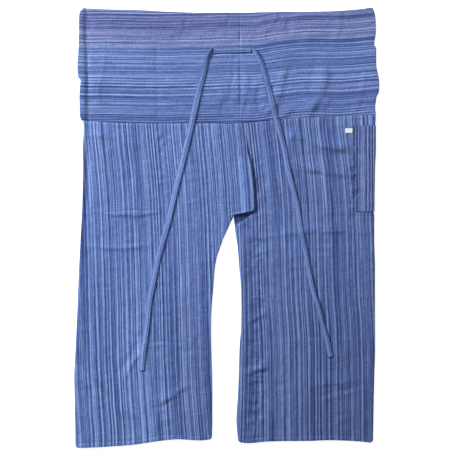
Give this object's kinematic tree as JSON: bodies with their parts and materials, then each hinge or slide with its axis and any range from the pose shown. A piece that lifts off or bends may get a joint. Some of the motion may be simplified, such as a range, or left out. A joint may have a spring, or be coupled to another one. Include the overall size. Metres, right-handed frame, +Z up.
{
  "type": "thai fisherman pants",
  "caption": "Wide wrap trousers in striped cotton, laid flat with the back up: deep waistband, long waist ties, side patch pocket and a crotch pleat.",
  "frame": {"origin": "bottom centre of the flat garment's box, ties left out, on the surface it lies on", "axes": "+Y towards the waistband, +X to the right as seen from above, +Z up"},
  "size_m": [0.6836, 0.9851, 0.0086],
  "materials": {
    "leg_cloth": "matt woven cotton with fine lengthwise stripes",
    "waistband_cloth": "matt woven cotton with fine crosswise stripes, a purple cast near the top",
    "pocket_cloth": "matt woven cotton with fine lengthwise stripes",
    "label_tape": "plain white woven tape",
    "tie_cloth": "matt woven cotton, folded and stitched flat"
  },
  "bodies": {
    "root": {"leg_left": "leg_cloth", "leg_right": "leg_cloth", "waistband": "waistband_cloth", "pocket": "pocket_cloth", "label": "label_tape", "tie_bridge": "tie_cloth", "tie_left": "tie_cloth", "tie_right": "tie_cloth"}
  },
  "joints": []
}
